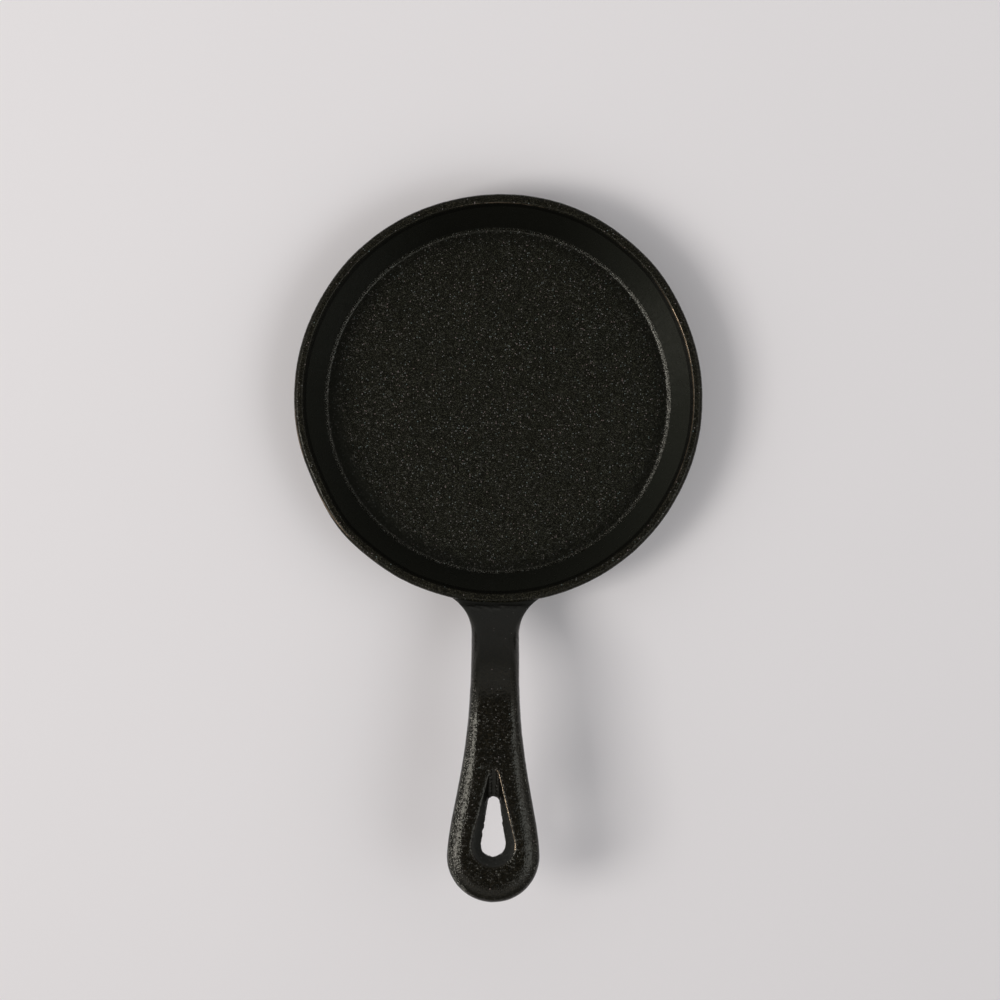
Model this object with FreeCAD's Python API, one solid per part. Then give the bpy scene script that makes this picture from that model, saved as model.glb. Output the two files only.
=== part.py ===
import FreeCAD, Part
import math
import os

from FreeCAD import Vector

# A small cast iron skillet: a round pan with flared sides and one arched handle
# that widens to a grip with a hang hole.  The real skillet is a single casting,
# so the nodes below are the sections of that casting, cut where a pattern maker
# would name them, and every section meets the next face to face.
# Millimetres, +Z up.  The origin is the centre of the pan's underside, and the
# handle runs along -Y.

# Pan
RIM_RADIUS = 70.0            # widest part of the rim, on its outer round
PAN_HEIGHT = 25.0            # underside to the top of the rim
FLOOR_THICKNESS = 4.0
WALL_THICKNESS = 3.6         # measured level, the same from floor to rim
WALL_FLARE = 18.3            # degrees the wall leans out from upright
UNDERSIDE_ROUND = 3.0        # round between the underside and the wall
FLOOR_ROUND = 1.2            # round between the cooking floor and the wall
RIM_OUTER_ROUND = 1.5        # rounds on the two edges of the rim's top
RIM_INNER_ROUND = 0.6
RIM_DEPTH = 3.2              # how far down from the top the rim section reaches

# Handle, seen from the side
RISE_ANGLE = 45.0            # slope of the handle where it leaves the pan
ROOT_BELOW_RIM = 0.6         # the handle's top edge under the rim's top
ROOT_THICKNESS = 9.0
ROOT_UNDER_HEIGHT = 4.0      # lowest point of the root, where it runs into the wall
SHANK_THICKNESS = 7.6
GRIP_THICKNESS = 9.2
GRIP_TOP = 48.2              # height of the level top of the grip
TOP_BEND_RADIUS = 32.0
UNDER_BEND_RADIUS = 25.0
SWELL_LEAD = 0.6             # level underside between the bend and the swell of the grip
SWELL_SLOPE = 10.0           # degrees the underside drops where it swells to the grip
SWELL_RADIUS = 50.0
SWELL_FILL = 0.9             # largest share of the swell that its two rounds take

# Handle, seen from above
HANDLE_LENGTH = 99.4         # rim to the tip of the grip
SHANK_WIDTH = 16.2
GRIP_END_RADIUS = 15.5
ROOT_FLARE_RADIUS = 13.0     # fillet between the shank's sides and the pan
STRAIGHT_SHANK = 21.0        # rim to where the shank starts to widen
FLANK_SLOPE = 0.04           # how much the flank still opens where it meets the end round
FLANK_START_PULL = 0.50      # how far the flank holds its direction where it leaves the shank
FLANK_END_PULL = 0.22        # and where it meets the end round
SHOULDER_ROUND = 3.4         # round along the handle's long edges
SHOULDER_LIMIT = 0.46        # largest share of the handle's thickness that a shoulder takes

# Hang hole, and the two hollows that lead into it from above and below
HOLLOW_LENGTH = 32.8
HOLLOW_TIP_RADIUS = 1.6
HOLLOW_END_RADIUS = 7.35
HOLLOW_EDGE_IRON = 12.1      # iron between the hollow and the tip of the grip
HOLE_LENGTH = 20.4
HOLE_TIP_RADIUS = 2.05
HOLE_END_RADIUS = 4.15
HOLE_EDGE_IRON = 15.1        # iron between the hole and the tip of the grip
WEB_THICKNESS = 2.4          # iron left around the hole between the two hollows

# Where the sections of the casting meet
FLOOR_SECTION_GAP = 0.4      # from the floor's round to the edge of the floor section
SHANK_LEAD = 5.0             # straight bar between the root section and the bend
GRIP_LEAD = 4.0              # iron between the start of the grip section and its hollow
ROOT_BURY = 4.5              # how far the root blank reaches into the wall before it is cut
ROOT_STEPS = 5               # steps between the shank's outline and the wall's
ROOT_TOP_ROUND = 4.5         # rounds of the root's corners where it runs into the wall
ROOT_UNDER_ROUND = 11.0
ROOT_ROUND_LIMIT = 0.95      # largest share of its side that the lower round takes
ROOT_FLARE_LIMIT = 0.99      # largest share of the flare's radius that the blank runs through

FLARE_TAN = math.tan(math.radians(WALL_FLARE))
RISE_TAN = math.tan(math.radians(RISE_ANGLE))
RISE_COS = math.cos(math.radians(RISE_ANGLE))
RISE_SIN = math.sin(math.radians(RISE_ANGLE))
HALF_SHANK = SHANK_WIDTH / 2
REACH = RIM_RADIUS + HANDLE_LENGTH
ROOT_TOP = PAN_HEIGHT - ROOT_BELOW_RIM
ROOT_UNDER = ROOT_TOP - ROOT_THICKNESS / RISE_COS
CUTTER = 3 * REACH           # side of a block larger than the whole skillet
EDGE_SAMPLE = 0.3            # where along an edge its faces are read, off the middle line x = 0
SMALL = 1e-6


def rounded_wire(corners, to_point):
    """Closed wire through corners (u, v, radius), each corner with its own round."""
    flat = [Vector(u, v, 0) for u, v, _ in corners]
    starts = []
    ends = []
    rounds = []
    for i, (_, _, radius) in enumerate(corners):
        back = (flat[i - 1] - flat[i]).normalize()
        ahead = (flat[(i + 1) % len(flat)] - flat[i]).normalize()
        half_angle = back.getAngle(ahead) / 2
        run = radius / math.tan(half_angle)
        rise = radius / math.sin(half_angle) - radius
        starts.append(to_point(flat[i] + back * run))
        ends.append(to_point(flat[i] + ahead * run))
        rounds.append(to_point(flat[i] + (back + ahead).normalize() * rise))
    edges = []
    for i, (_, _, radius) in enumerate(corners):
        if radius > 0:
            edges.append(Part.Arc(starts[i], rounds[i], ends[i]).toShape())
        edges.append(Part.LineSegment(ends[i], starts[(i + 1) % len(flat)]).toShape())
    return Part.Wire(edges)


def in_side_view(point):
    """An outline point (y, z) standing in the plane x = 0."""
    return Vector(0, point.x, point.y)


def in_section(point):
    """An outline point (r, z) standing in the half plane y = 0."""
    return Vector(point.x, 0, point.y)


def wall_radius(height):
    """Outside radius of the wall's slope at a height; the rim's round just reaches RIM_RADIUS."""
    edge_half = math.radians((90 - WALL_FLARE) / 2)
    edge_radius = RIM_RADIUS + RIM_OUTER_ROUND * (1 / math.tan(edge_half) - 1)
    return edge_radius - (PAN_HEIGHT - height) * FLARE_TAN


def spin(corners):
    """Solid of revolution about the pan's axis."""
    section = Part.Face(rounded_wire(corners, in_section))
    return section.revolve(Vector(0, 0, 0), Vector(0, 0, 1), 360)


def make_pan():
    """The whole pan: floor, flared wall and rim."""
    return spin([
        (0, 0, 0),
        (wall_radius(0), 0, UNDERSIDE_ROUND),
        (wall_radius(PAN_HEIGHT), PAN_HEIGHT, RIM_OUTER_ROUND),
        (wall_radius(PAN_HEIGHT) - WALL_THICKNESS, PAN_HEIGHT, RIM_INNER_ROUND),
        (wall_radius(FLOOR_THICKNESS) - WALL_THICKNESS, FLOOR_THICKNESS, FLOOR_ROUND),
        (0, FLOOR_THICKNESS, 0),
    ])


def make_pan_space():
    """The space inside the wall's outer slope, which the handle stays out of."""
    above = 2 * PAN_HEIGHT
    return spin([
        (0, 0, 0),
        (wall_radius(0), 0, 0),
        (wall_radius(above), above, 0),
        (0, above, 0),
    ])


def split_pan(pan):
    """Floor, wall and rim sections of the pan."""
    corner_half = math.radians((90 + WALL_FLARE) / 2)
    corner_radius = wall_radius(FLOOR_THICKNESS) - WALL_THICKNESS
    floor_edge = corner_radius - FLOOR_ROUND / math.tan(corner_half) - FLOOR_SECTION_GAP
    floor_space = Part.makeCylinder(floor_edge, PAN_HEIGHT)
    rim_space = Part.makeCylinder(CUTTER, RIM_DEPTH, Vector(0, 0, PAN_HEIGHT - RIM_DEPTH))
    return {
        "pan_floor": pan.common(floor_space),
        "pan_wall": pan.cut(floor_space).cut(rim_space),
        "pan_rim": pan.common(rim_space),
    }


def make_side_ribbon():
    """The handle's side view, pushed out wider than the handle."""
    under_grip = GRIP_TOP - GRIP_THICKNESS
    under_shank = GRIP_TOP - SHANK_THICKNESS
    beyond = REACH + GRIP_END_RADIUS
    top_corner = RIM_RADIUS + (GRIP_TOP - ROOT_TOP) / RISE_TAN
    under_corner = RIM_RADIUS + (under_shank - ROOT_UNDER) / RISE_TAN
    bend_end = under_corner + UNDER_BEND_RADIUS * math.tan(math.radians(RISE_ANGLE / 2))
    swell_length = (under_shank - under_grip) / math.sin(math.radians(SWELL_SLOPE))
    swell_run = math.tan(math.radians(SWELL_SLOPE / 2))
    swell_radius = min(SWELL_RADIUS, SWELL_FILL * swell_length / 2 / swell_run)
    swell_start = bend_end + SWELL_LEAD + swell_radius * swell_run
    swell_end = swell_start + swell_length * math.cos(math.radians(SWELL_SLOPE))
    outline = rounded_wire([
        (-RIM_RADIUS, ROOT_TOP, 0),
        (-top_corner, GRIP_TOP, TOP_BEND_RADIUS),
        (-beyond, GRIP_TOP, 0),
        (-beyond, under_grip, 0),
        (-swell_end, under_grip, swell_radius),
        (-swell_start, under_shank, swell_radius),
        (-under_corner, under_shank, UNDER_BEND_RADIUS),
        (-RIM_RADIUS, ROOT_UNDER, 0),
    ], in_side_view)
    ribbon = Part.Face(outline).extrude(Vector(4 * GRIP_END_RADIUS, 0, 0))
    ribbon.translate(Vector(-2 * GRIP_END_RADIUS, 0, 0))
    return ribbon


def make_bar_outline():
    """The shank and grip seen from above: straight sides, a widening flank, a round end."""
    opening = math.atan(FLANK_SLOPE)
    end_centre = Vector(0, GRIP_END_RADIUS - REACH, 0)
    shank_start = Vector(HALF_SHANK, -RIM_RADIUS / 2, 0)
    flank_start = Vector(HALF_SHANK, -RIM_RADIUS - STRAIGHT_SHANK, 0)
    flank_end = end_centre + Vector(math.cos(opening), math.sin(opening), 0) * GRIP_END_RADIUS
    flank_run = flank_start.y - flank_end.y
    flank = Part.BezierCurve()
    flank.setPoles([
        flank_start,
        flank_start - Vector(0, flank_run * FLANK_START_PULL, 0),
        flank_end - Vector(FLANK_SLOPE, -1, 0) * flank_run * FLANK_END_PULL,
        flank_end,
    ])
    quarter = end_centre + Vector(1, -1, 0).normalize() * GRIP_END_RADIUS
    side = [
        Part.LineSegment(Vector(0, shank_start.y, 0), shank_start),
        Part.LineSegment(shank_start, flank_start),
        flank,
        Part.Arc(flank_end, quarter, Vector(0, -REACH, 0)),
    ]
    half = [curve.toShape() for curve in side]
    mirrored = [edge.mirror(Vector(0, 0, 0), Vector(1, 0, 0)) for edge in half]
    return Part.Wire(Part.__sortEdges__(half + mirrored))


def faces_across(face, point):
    """Whether a face turns towards the handle's sides at a point."""
    u, v = face.Surface.parameter(point)
    return abs(face.normalAt(u, v).x) > SMALL


def shoulder_edges(bar):
    """The edges where the bar's top and underside meet its sides and its round end."""
    owners = {}
    for face in bar.Faces:
        for edge in face.Edges:
            owners.setdefault(edge.hashCode(), (edge, []))[1].append(face)
    chosen = []
    for edge, faces in owners.values():
        span = edge.LastParameter - edge.FirstParameter
        point = edge.valueAt(edge.FirstParameter + EDGE_SAMPLE * span)
        upright = abs(edge.tangentAt(edge.FirstParameter).z) > 1 - SMALL
        if not upright and [faces_across(face, point) for face in faces].count(True) == 1:
            chosen.append(edge)
    return chosen


def shoulder_round():
    """The shoulders' round, limited by the thinnest part of the handle."""
    thinnest = min(ROOT_THICKNESS, SHANK_THICKNESS, GRIP_THICKNESS)
    return min(SHOULDER_ROUND, SHOULDER_LIMIT * thinnest)


def make_bar():
    """Shank and grip in one, with rounded shoulders."""
    column = Part.Face(make_bar_outline()).extrude(Vector(0, 0, 2 * GRIP_TOP))
    bar = column.common(make_side_ribbon())
    return bar.makeFillet(shoulder_round(), shoulder_edges(bar))


def root_section_length():
    """Length of the root section down the slope of the handle's top, from the rim."""
    bend_half = math.tan(math.radians(RISE_ANGLE / 2))
    top_slope = (GRIP_TOP - ROOT_TOP) / RISE_SIN
    under_slope = (GRIP_TOP - SHANK_THICKNESS - ROOT_UNDER) / RISE_SIN - ROOT_THICKNESS * RISE_TAN
    straight_top = top_slope - TOP_BEND_RADIUS * bend_half
    straight_under = under_slope - UNDER_BEND_RADIUS * bend_half
    return min(straight_top, straight_under) - SHANK_LEAD


def shank_joint():
    """Top and bottom points (x = 0) of the square cut between the root and the shank."""
    length = root_section_length()
    top = Vector(0, -RIM_RADIUS - length * RISE_COS, ROOT_TOP + length * RISE_SIN)
    under = top - Vector(0, RISE_SIN, RISE_COS) * ROOT_THICKNESS
    return top, under


def root_outline(top, under, half_width, top_round, under_round):
    """One station of the root: a rounded rectangle standing between two points."""
    height = (top - under).Length
    upward = (top - under) / height
    return rounded_wire([
        (half_width, height, top_round),
        (-half_width, height, top_round),
        (-half_width, 0, under_round),
        (half_width, 0, under_round),
    ], lambda point: under + Vector(1, 0, 0) * point.x + upward * point.y)


def make_root():
    """The root: it grows from the shank's outline and flares into the wall."""
    top, under = shank_joint()
    wall_top = Vector(0, ROOT_BURY - RIM_RADIUS, ROOT_TOP - ROOT_BURY * RISE_TAN)
    wall_under = Vector(0, ROOT_BURY - wall_radius(ROOT_UNDER_HEIGHT), ROOT_UNDER_HEIGHT)
    stations = []
    for step in range(ROOT_STEPS + 1):
        share = step / ROOT_STEPS
        here_top = top + (wall_top - top) * share
        here_under = under + (wall_under - under) * share
        along = min((here_top.y - top.y) / ROOT_FLARE_RADIUS, ROOT_FLARE_LIMIT)
        half_width = HALF_SHANK + ROOT_FLARE_RADIUS * (1 - math.sqrt(1 - along ** 2))
        top_round = shoulder_round() + (ROOT_TOP_ROUND - shoulder_round()) * share
        under_round = shoulder_round() + (ROOT_UNDER_ROUND - shoulder_round()) * share ** 2
        room = min((here_top - here_under).Length - top_round, half_width)
        under_round = min(under_round, ROOT_ROUND_LIMIT * room)
        stations.append(root_outline(here_top, here_under, half_width, top_round, under_round))
    return Part.makeLoft(stations, True, False).cut(make_pan_space())


def split_bar(bar):
    """Shank and grip sections, cut square to the handle at each joint."""
    top, _ = shank_joint()
    inner = Part.makeBox(CUTTER, CUTTER, CUTTER, Vector(-CUTTER / 2, 0, -CUTTER / 2))
    inner.rotate(Vector(0, 0, 0), Vector(1, 0, 0), -RISE_ANGLE)
    inner.translate(top)
    grip_start = REACH - HOLLOW_EDGE_IRON - HOLLOW_LENGTH - GRIP_LEAD
    outer = Part.makeBox(CUTTER, CUTTER, CUTTER, Vector(-CUTTER / 2, -grip_start - CUTTER, 0))
    return bar.cut(inner).cut(outer), bar.common(outer)


def teardrop(tip_y, length, tip_radius, end_radius, height):
    """A teardrop outline that points to the pan: two unlike rounds and their tangents."""
    tip = Vector(0, tip_y - tip_radius, height)
    end = Vector(0, tip_y - length + end_radius, height)
    lean = math.asin((end_radius - tip_radius) / (tip.y - end.y))
    across = Vector(math.cos(lean), math.sin(lean), 0)
    across_left = Vector(-across.x, across.y, 0)
    ahead = Vector(0, 1, 0)
    return Part.Wire([
        Part.Arc(tip + across * tip_radius, tip + ahead * tip_radius,
                 tip + across_left * tip_radius).toShape(),
        Part.LineSegment(tip + across_left * tip_radius, end + across_left * end_radius).toShape(),
        Part.Arc(end + across_left * end_radius, end - ahead * end_radius,
                 end + across * end_radius).toShape(),
        Part.LineSegment(end + across * end_radius, tip + across * tip_radius).toShape(),
    ])


def hole_outline(height):
    tip_y = HOLE_EDGE_IRON + HOLE_LENGTH - REACH
    return teardrop(tip_y, HOLE_LENGTH, HOLE_TIP_RADIUS, HOLE_END_RADIUS, height)


def hollow_outline(height):
    tip_y = HOLLOW_EDGE_IRON + HOLLOW_LENGTH - REACH
    return teardrop(tip_y, HOLLOW_LENGTH, HOLLOW_TIP_RADIUS, HOLLOW_END_RADIUS, height)


def make_hang_hole():
    """The space of the hang hole and of its two sloping hollows."""
    under = GRIP_TOP - GRIP_THICKNESS
    middle = GRIP_TOP - GRIP_THICKNESS / 2
    hole = Part.Face(hole_outline(under)).extrude(Vector(0, 0, GRIP_THICKNESS))
    web_top = middle + WEB_THICKNESS / 2
    web_under = middle - WEB_THICKNESS / 2
    upper = Part.makeLoft([hollow_outline(GRIP_TOP), hole_outline(web_top)], True, True)
    lower = Part.makeLoft([hollow_outline(under), hole_outline(web_under)], True, True)
    return hole.fuse(upper).fuse(lower)


def make_skillet():
    """Every section of the casting, by node name."""
    sections = split_pan(make_pan())
    shank, grip = split_bar(make_bar())
    sections["handle_root"] = make_root()
    sections["handle_shank"] = shank
    sections["handle_grip"] = grip.cut(make_hang_hole())
    return sections


os.makedirs("parts", exist_ok=True)
for name, shape in make_skillet().items():
    shape.exportStep(f"parts/{name}.step")
    box = shape.BoundBox
    print(f"{name}: solids {len(shape.Solids)}, valid {shape.isValid()}, "
          f"volume {shape.Volume:.0f}, z {box.ZMin:.2f} to {box.ZMax:.2f}, "
          f"y {box.YMin:.2f} to {box.YMax:.2f}, x {box.XMin:.2f} to {box.XMax:.2f}")
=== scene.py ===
import math
import random

import bpy
import numpy as np
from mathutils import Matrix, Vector, noise


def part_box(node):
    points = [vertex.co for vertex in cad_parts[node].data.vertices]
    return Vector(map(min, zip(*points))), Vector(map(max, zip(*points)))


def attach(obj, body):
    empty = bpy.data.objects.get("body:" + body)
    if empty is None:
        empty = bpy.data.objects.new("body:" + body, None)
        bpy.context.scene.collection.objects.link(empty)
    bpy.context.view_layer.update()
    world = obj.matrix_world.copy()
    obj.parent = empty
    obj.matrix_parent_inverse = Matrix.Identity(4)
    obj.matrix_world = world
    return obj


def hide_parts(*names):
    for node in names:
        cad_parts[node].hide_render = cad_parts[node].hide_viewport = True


# A small cast iron skillet, dressed section by section over its CAD frame.
# Shapes are worked out in millimetres and turned into metres when a piece is made.
# The pan's axis is Z, its underside is at z = 0, and the handle runs along -Y.

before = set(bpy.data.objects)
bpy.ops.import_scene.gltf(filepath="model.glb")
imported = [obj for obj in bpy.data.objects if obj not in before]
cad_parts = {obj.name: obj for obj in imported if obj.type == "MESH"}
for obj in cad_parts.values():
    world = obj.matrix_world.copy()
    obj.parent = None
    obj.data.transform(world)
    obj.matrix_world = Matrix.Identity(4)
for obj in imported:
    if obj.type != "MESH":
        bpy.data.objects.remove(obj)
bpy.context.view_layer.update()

MM = 0.001


def node_box(node):
    """Lowest and highest corner of a CAD node, in millimetres."""
    low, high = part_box(node)
    return low / MM, high / MM


rim_low, rim_high = node_box("pan_rim")
floor_high = node_box("pan_floor")[1]
grip_low, grip_high = node_box("handle_grip")

# Pan, as the CAD frame has it
RIM_RADIUS = rim_high.x
PAN_HEIGHT = rim_high.z
RIM_JOINT = rim_low.z
FLOOR_EDGE = floor_high.x
FLOOR_TOP = floor_high.z
WALL_THICKNESS = 3.6
WALL_FLARE = 18.3            # degrees the wall leans out
FLARE_TAN = math.tan(math.radians(WALL_FLARE))
UNDERSIDE_ROUND = 3.0
FLOOR_ROUND = 1.2
RIM_OUTER_ROUND = 1.5
RIM_INNER_ROUND = 0.6

# Handle, as the CAD frame has it: it leaves the pan at 45 degrees and bends to run level
TIP_Y = grip_low.y
GRIP_JOINT = grip_high.y
GRIP_TOP = grip_high.z
GRIP_UNDER = grip_low.z
SHANK_THICKNESS = 7.6
ROOT_THICKNESS = 9.0
ROOT_TOP = PAN_HEIGHT - 0.6
ROOT_UNDER = ROOT_TOP - ROOT_THICKNESS * math.sqrt(2)
ROOT_FOOT = 4.0              # lowest point of the root, where it meets the wall
ROOT_BURY = 4.5              # how far the root's sections are carried into the pan before they are cut
ROOT_TOP_ROUND = 1.7
ROOT_UNDER_ROUND = 11
ROOT_ROUND_LIMIT = 0.95      # largest share of its side that the root's lower round takes
HALF_BEND_TAN = math.tan(math.radians(22.5))
TOP_BEND = 32.0
UNDER_BEND = 25.0
SHANK_LEAD = 5               # straight bar between the root and the bend
SWELL_LEAD = 0.6             # level underside between the bend and the swell of the grip
SWELL_SLOPE = 10             # degrees the underside drops where it swells
SWELL_BEND = 47.4
HALF_SHANK = 8.1
END_ROUND = 15.5
FLARE_ROUND = 13.0           # where the root widens into the wall
STRAIGHT_SHANK = 21.0        # rim to where the shank starts to widen
FLANK_SLOPE = 0.04           # how much the flank still opens where the end round starts
FLANK_START_PULL = 0.50
FLANK_END_PULL = 0.22
SHOULDER = 3.4               # round along the handle's long edges
SOFT_SHOULDER = 2.6          # how much further in that round reaches on the grip

# Hollows in the grip and the hang hole between them
HOLLOW_EDGE_IRON = 12.1      # iron between the hollow and the grip's tip
HOLLOW_LENGTH = 32.8
HOLLOW_TIP_RADIUS = 1.6
HOLLOW_END_RADIUS = 7.35
HOLE_EDGE_IRON = 15.1        # iron between the hole and the grip's tip
HOLE_LENGTH = 20.4
HOLE_TIP_RADIUS = 2.05
HOLE_END_RADIUS = 4.15
WEB = 2.4                    # iron left round the hole between the two hollows
HOLLOW_SOFT = 0.5            # how softly the bead turns down into the hollow

# Mesh spacing
AROUND = 960                 # points round the pan
STEP = 0.5                   # along the inside of the pan's section
OUTER_STEP = 0.6             # along its outside
TURN_STEP = 0.3              # along its small rounds
RIM_STEP = 0.4
RIM_TURN_STEP = 0.16
LINE_STEP = 0.2              # along the handle's side lines
ROOT_ROWS, SHANK_ROWS = 90, 130
TOP_POINTS, CORNER_POINTS, SIDE_POINTS = 20, 14, 10
JOINT_HALF, JOINT_FLANK, LONG_FLANK, END_QUARTER = 34, 22, 74, 70
BEAD_ROWS, BEAD_EDGE_ROWS, RAMP_ROWS = 12, 10, 27
BURIED = 0.3                 # how far the root's end stands inside the pan's outer face

# How far the casting's skin stands proud or deep, in millimetres
PAN_WAVES = 0.05
HANDLE_WAVES = 0.12
WAVE_SIZE, LUMP_SIZE, GRAIN_SIZE = 14, 3.1, 1.15

# Where one kind of skin gives way to the next: heights on the pan, distances along the handle
FLOOR_TO_WALL = (4.2, 6.5)
WALL_FOOT = (4.9, 6.2)
WALL_TOP = (23.6, 24.6)
RIM_SKIN = (23.2, 24.6)
LIP_EDGE = (24.2, 24.7)
OUTER_EDGE = (23.4, 24.3)
UNDER_SKIN = (0.2, 2.0)
GRIP_SHOULDERS = (100, 138)

# Changes round the pan: humps of (rise, middle, width), with middle in degrees from +X
RIM_BULGES = ((0.50, -138, 8), (0.24, -119, 9), (-0.38, -156, 9), (0.52, 66, 20), (0.25, 40, 8))
# WALL_SHADE sets the painted shade on the inside of the wall
WALL_SHADE = ((-0.7, 6, 44), (0.6, 88, 40))
# FOOT_HIGHLIGHT sets the painted highlight grains at the wall's foot
FOOT_HIGHLIGHT = ((0.86, 8, 38), (0.20, 165, 42), (0.12, -105, 40))
LIP_WEAR = ((1.90, 34, 48),)
OUTER_WEAR = ((0.80, -158, 44),)
# WIDE_EDGE_BAND widens the floor's band of painted shade and thinner grain near -155 degrees
WIDE_EDGE_BAND = ((1, -155, 40),)

# Colours of the iron's details
# Painted glints, warm and cool
PAINTED_GLINT_WARM = (0.16, 0.12, 0.115, 1)
PAINTED_GLINT_COOL = (0.10, 0.135, 0.13, 1)
# Colour of the painted shade, laid where the painted_shade mark is set
PAINTED_SHADE_COLOUR = (0.0020, 0.0019, 0.0012, 1)
# Colour of the painted highlight grains
PAINTED_HIGHLIGHT_GRAIN = (0.52, 0.51, 0.45, 1)
BARE_IRON = (0.30, 0.225, 0.155, 1)
OIL_SHEEN = (1.0, 0.985, 0.89, 1)


def wall_radius(height):
    """Outside radius of the wall's slope at a height."""
    edge_half = math.radians((90 - WALL_FLARE) / 2)
    edge = RIM_RADIUS + RIM_OUTER_ROUND * (1 / math.tan(edge_half) - 1)
    return edge - (PAN_HEIGHT - height) * FLARE_TAN


def rounded_path(corners, step, turn_step):
    """Points along a path of (u, v, round) corners, each corner with its own round."""
    at = [Vector(c[:2]) for c in corners]
    points = [at[0]]

    def run_to(end):
        start = points[-1]
        count = max(1, round((end - start).length / step))
        points.extend(start.lerp(end, i / count) for i in range(1, count + 1))

    for i in range(1, len(at) - 1):
        back = (at[i - 1] - at[i]).normalized()
        ahead = (at[i + 1] - at[i]).normalized()
        radius = corners[i][2]
        half = back.angle(ahead) / 2
        run = radius / math.tan(half)
        centre = at[i] + (back + ahead).normalized() * (radius / math.sin(half))
        run_to(at[i] + back * run)
        first = points[-1] - centre
        last = at[i] + ahead * run - centre
        turn = math.pi - 2 * half
        count = max(4, round(radius * turn / turn_step))
        for k in range(1, count + 1):
            share = k / count
            mix = (first * math.sin((1 - share) * turn) + last * math.sin(share * turn)) / math.sin(turn)
            points.append(centre + mix)
    run_to(at[-1])
    return np.array(points)


# ---------------------------------------------------------------- cast skin

def skin_noise(points, size, octaves=2):
    """Soft lumps of about this size in millimetres, from -1 to 1, at each point."""
    scale = 1 / size
    return np.array([
        noise.fractal(Vector((x * scale, y * scale, z * scale)), 0.7, 2.1, octaves)
        for x, y, z in points
    ])


def fade(value, low, high):
    return np.clip((value - low) / (high - low), 0, 1)


def smooth_step(value, low, high):
    share = fade(value, low, high)
    return share * share * (3 - 2 * share)


def hump(value, centre, width):
    return np.exp(-((value - centre) / width) ** 2)


def round_the_pan(angle, base, humps):
    """A value that changes round the pan: a base and humps of (rise, middle, width)."""
    for rise, middle, width in humps:
        gap = (angle - middle + 180) % 360 - 180
        base = base + rise * np.exp(-(gap / width) ** 2)
    return base


def polar(points):
    """Distance from the pan's axis and angle round it, in degrees."""
    return np.hypot(points[:, 0], points[:, 1]), np.degrees(np.arctan2(points[:, 1], points[:, 0]))


def skin(points, normals, grain, lumps, waves, inward=0.0):
    """Points moved along their normals by the unevenness of a sand casting."""
    move = waves * skin_noise(points, WAVE_SIZE, 1)
    move = move + lumps * skin_noise(points, LUMP_SIZE)
    move = move + grain * skin_noise(points + 40, GRAIN_SIZE)
    move = move - inward
    return points + normals * move[:, None]


# ---------------------------------------------------------------- pieces

def make_piece(name, points, faces, iron, nodes, marks):
    """One section of the casting as a closed mesh that stands for its CAD node."""
    mesh = bpy.data.meshes.new(name)
    points[:, 2] = np.maximum(points[:, 2], 0)
    mesh.from_pydata((points * MM).tolist(), [], faces)
    mesh.validate()
    for mark, values in marks.items():
        layer = mesh.attributes.new(mark, "FLOAT", "POINT")
        layer.data.foreach_set("value", values.astype(np.float32))
    mesh.polygons.foreach_set("use_smooth", [True] * len(mesh.polygons))
    mesh.set_sharp_from_angle(angle=math.radians(55))
    mesh.materials.append(iron)
    piece = bpy.data.objects.new(name, mesh)
    bpy.context.scene.collection.objects.link(piece)
    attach(piece, "root")
    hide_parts(*nodes)
    return piece


def ring_faces(rows, columns, closed_rows, closed_columns):
    """Quads of a grid whose points run column by column within each row."""
    row = np.arange(rows if closed_rows else rows - 1)
    column = np.arange(columns if closed_columns else columns - 1)
    r, c = np.meshgrid(row, column, indexing="ij")
    r2, c2 = (r + 1) % rows, (c + 1) % columns
    quads = np.stack([r * columns + c, r * columns + c2, r2 * columns + c2, r2 * columns + c], -1)
    return quads.reshape(-1, 4).tolist()


def spun(path):
    """Points and outward normals of a path (r, z) turned round the pan's axis."""
    tangent = np.gradient(path, axis=0)
    tangent /= np.linalg.norm(tangent, axis=1)[:, None]
    across = np.stack([-tangent[:, 1], tangent[:, 0]], 1)
    angle = np.arange(AROUND) * 2 * math.pi / AROUND
    cos, sin = np.cos(angle), np.sin(angle)
    points = np.stack([np.outer(path[:, 0], cos), np.outer(path[:, 0], sin),
                       np.repeat(path[:, 1:], AROUND, 1)], -1).reshape(-1, 3)
    normals = np.stack([np.outer(across[:, 0], cos), np.outer(across[:, 0], sin),
                        np.repeat(across[:, 1:], AROUND, 1)], -1).reshape(-1, 3)
    return points, normals


def pan_wobble(points):
    """The casting's rim isn't quite round: it is fuller in some places and flat in others."""
    radius, angle = polar(points)
    to_one_side = 0.22 * np.cos(np.radians(angle))
    ripple = 0.05 * np.sin(np.radians(angle * 11 + 40)) * np.sin(np.radians(angle * 3))
    out = round_the_pan(angle, 0, RIM_BULGES) + to_one_side + 0.02 + ripple
    share = smooth_step(points[:, 2], 6, PAN_HEIGHT) * smooth_step(radius, 50, 62)
    scale = 1 + out * share / np.maximum(radius, 1)
    return points * np.stack([scale, scale, np.ones_like(scale)], 1)


def pan_skin(points, normals):
    """Grainy on the cooking floor and the rim, smoother on the wall."""
    height = points[:, 2]
    inside = smooth_step(normals[:, 2], -0.5, 0.2)
    on_floor = inside * (1 - smooth_step(height, *FLOOR_TO_WALL))
    on_rim = smooth_step(height, *RIM_SKIN)
    under = 1 - smooth_step(height, *UNDER_SKIN)
    grain = 0.018 + 0.022 * on_floor + 0.018 * on_rim + 0.016 * under
    lumps = 0.03 + 0.01 * on_floor + 0.03 * on_rim
    waves = np.where(under > 0.5, 0.0, PAN_WAVES)
    return skin(pan_wobble(points), normals, grain, lumps, waves, inward=0.05 * under)


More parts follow.
